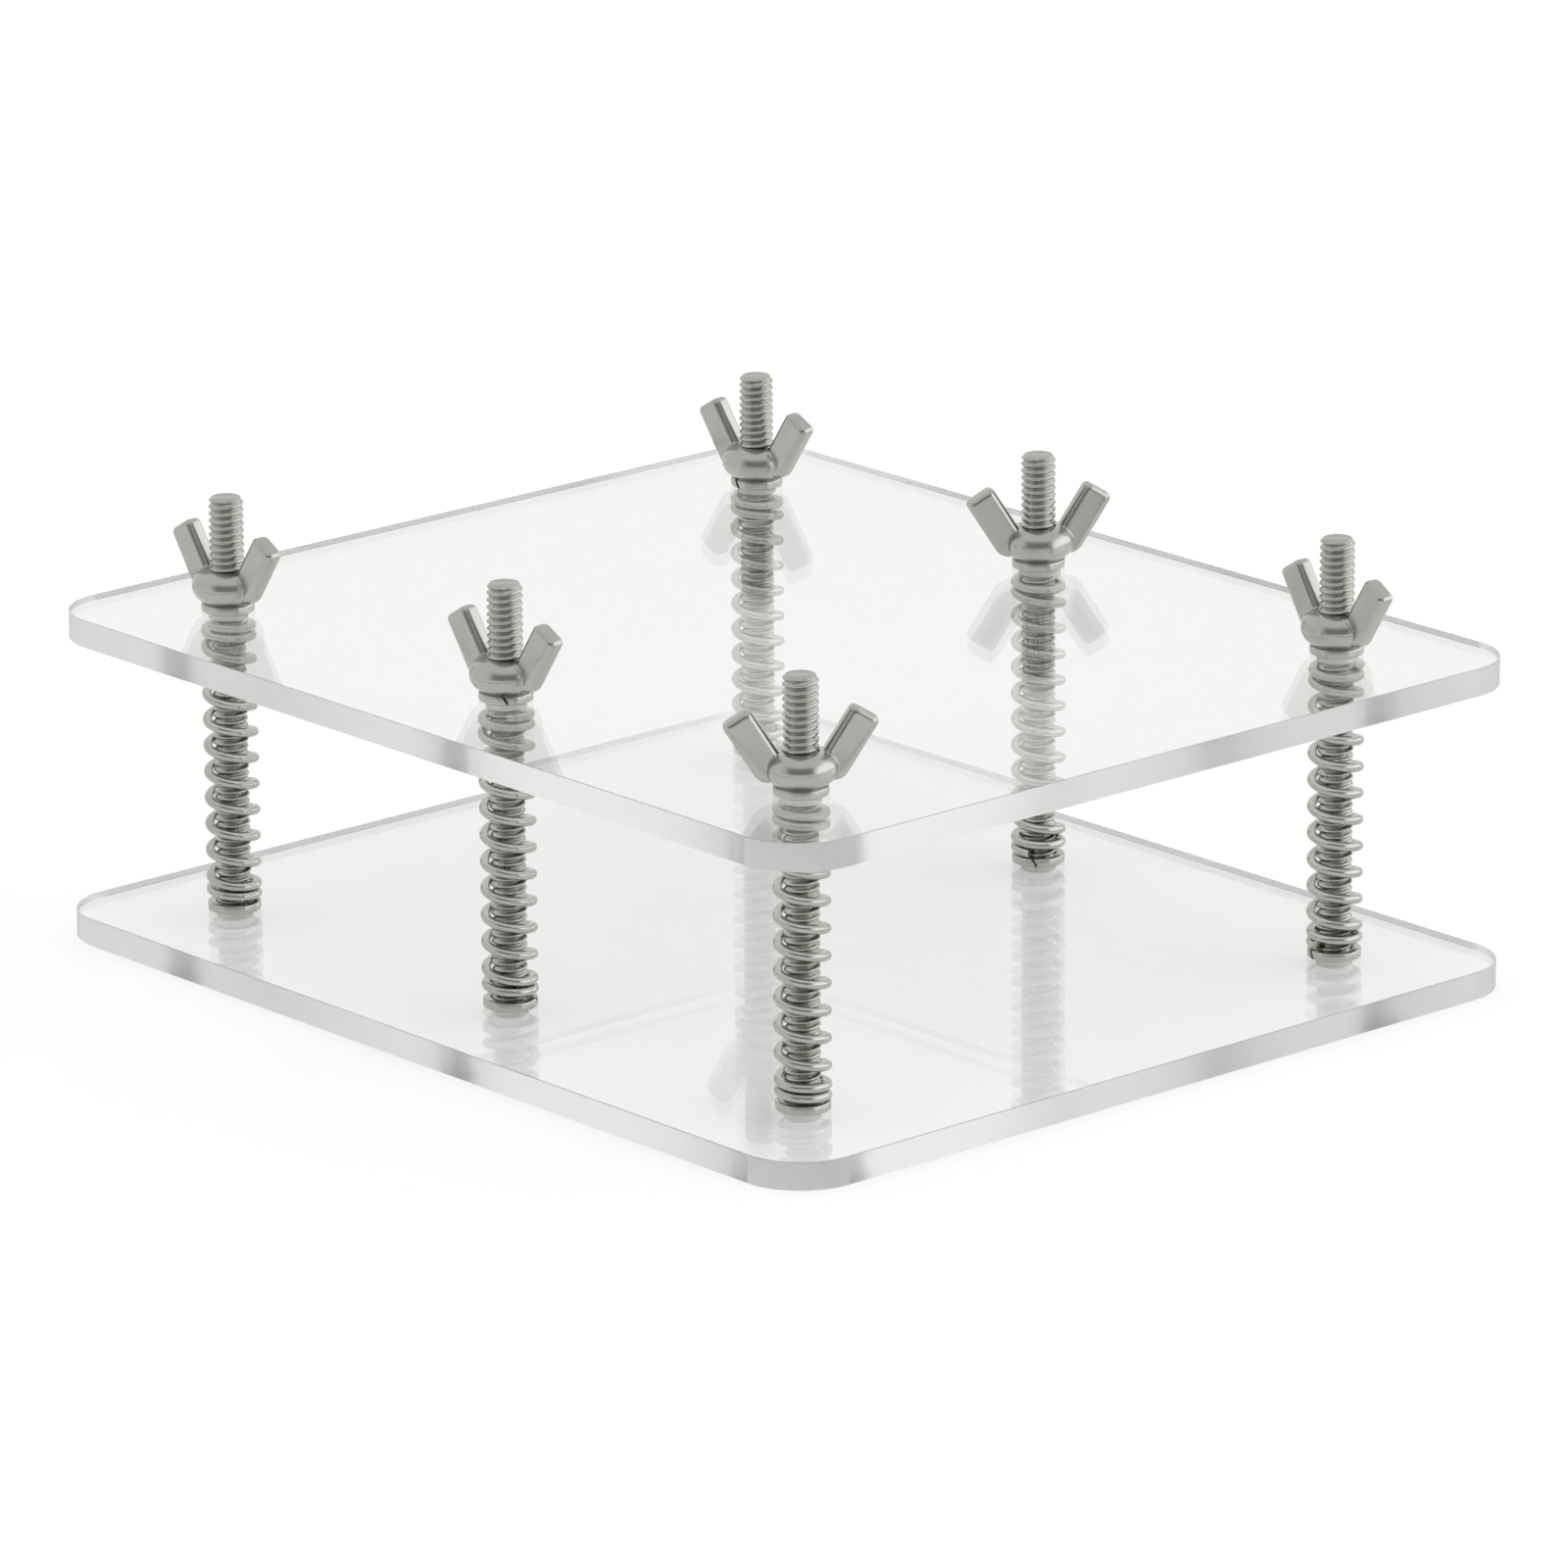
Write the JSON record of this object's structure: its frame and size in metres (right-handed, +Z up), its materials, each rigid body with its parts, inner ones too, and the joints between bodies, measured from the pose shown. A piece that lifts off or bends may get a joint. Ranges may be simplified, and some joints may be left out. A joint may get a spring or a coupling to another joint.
{
  "type": "acrylic card press",
  "caption": "Clear acrylic press: two rounded plates on threaded studs, held apart by coil springs and drawn together by wing nuts to keep cards flat.",
  "frame": {"origin": "middle of the bottom plate's underside, which the press rests on", "axes": "+X along the rows of studs, the plates' longer side; +Y from the front row to the rear row; +Z up along the studs"},
  "size_m": [0.2, 0.17, 0.0806],
  "materials": {
    "clear_acrylic": "clear, polished, with polished edges",
    "stud_steel": "bright zinc-plated thread",
    "spring_steel": "bright nickel-plated wire",
    "washer_steel": "bright zinc plate",
    "nut_steel": "bright nickel plate over a cast, tumbled surface"
  },
  "bodies": {
    "base": {"bottom_plate": "clear_acrylic", "stud_front_left": "stud_steel", "stud_front_mid": "stud_steel", "stud_front_right": "stud_steel", "stud_rear_left": "stud_steel", "stud_rear_mid": "stud_steel", "stud_rear_right": "stud_steel", "seat_washer_front_left": "washer_steel", "seat_washer_front_mid": "washer_steel", "seat_washer_front_right": "washer_steel", "seat_washer_rear_left": "washer_steel", "seat_washer_rear_mid": "washer_steel", "seat_washer_rear_right": "washer_steel", "spring_front_left": "spring_steel", "spring_front_mid": "spring_steel", "spring_front_right": "spring_steel", "spring_rear_left": "spring_steel", "spring_rear_mid": "spring_steel", "spring_rear_right": "spring_steel"},
    "press plate": {"top_plate": "clear_acrylic", "nut_washer_front_left": "washer_steel", "nut_washer_front_mid": "washer_steel", "nut_washer_front_right": "washer_steel", "nut_washer_rear_left": "washer_steel", "nut_washer_rear_mid": "washer_steel", "nut_washer_rear_right": "washer_steel"},
    "wing nut front left": {"wing_nut_front_left": "nut_steel"},
    "wing nut front mid": {"wing_nut_front_mid": "nut_steel"},
    "wing nut front right": {"wing_nut_front_right": "nut_steel"},
    "wing nut rear left": {"wing_nut_rear_left": "nut_steel"},
    "wing nut rear mid": {"wing_nut_rear_mid": "nut_steel"},
    "wing nut rear right": {"wing_nut_rear_right": "nut_steel"}
  },
  "joints": [
    {"name": "plate slide", "type": "slide", "parent": "base", "child": "press plate", "axis": [0, 0, 1], "range_m": [-0.02572, 0], "stiffness_N_per_m": 1200, "springref_m": 0.005, "deforming": ["spring_front_left", "spring_front_mid", "spring_front_right", "spring_rear_left", "spring_rear_mid", "spring_rear_right"]},
    {"name": "nut turn front left", "type": "hinge", "parent": "press plate", "child": "wing nut front left", "pos_m": [-0.076, -0.062, 0.0641], "axis": [0, 0, 1], "range_deg": [-7292, 0]},
    {"name": "nut turn front mid", "type": "hinge", "parent": "press plate", "child": "wing nut front mid", "pos_m": [0, -0.062, 0.0641], "axis": [0, 0, 1], "range_deg": [-7292, 0]},
    {"name": "nut turn front right", "type": "hinge", "parent": "press plate", "child": "wing nut front right", "pos_m": [0.076, -0.062, 0.0641], "axis": [0, 0, 1], "range_deg": [-7292, 0]},
    {"name": "nut turn rear left", "type": "hinge", "parent": "press plate", "child": "wing nut rear left", "pos_m": [-0.076, 0.062, 0.0641], "axis": [0, 0, 1], "range_deg": [-7292, 0]},
    {"name": "nut turn rear mid", "type": "hinge", "parent": "press plate", "child": "wing nut rear mid", "pos_m": [0, 0.062, 0.0641], "axis": [0, 0, 1], "range_deg": [-7292, 0]},
    {"name": "nut turn rear right", "type": "hinge", "parent": "press plate", "child": "wing nut rear right", "pos_m": [0.076, 0.062, 0.0641], "axis": [0, 0, 1], "range_deg": [-7292, 0]}
  ],
  "couplings": [
    {"joint": "nut turn front left", "follows": "plate slide", "rad_per_m": 4947.4},
    {"joint": "nut turn front mid", "follows": "plate slide", "rad_per_m": 4947.4},
    {"joint": "nut turn front right", "follows": "plate slide", "rad_per_m": 4947.4},
    {"joint": "nut turn rear left", "follows": "plate slide", "rad_per_m": 4947.4},
    {"joint": "nut turn rear mid", "follows": "plate slide", "rad_per_m": 4947.4},
    {"joint": "nut turn rear right", "follows": "plate slide", "rad_per_m": 4947.4}
  ]
}
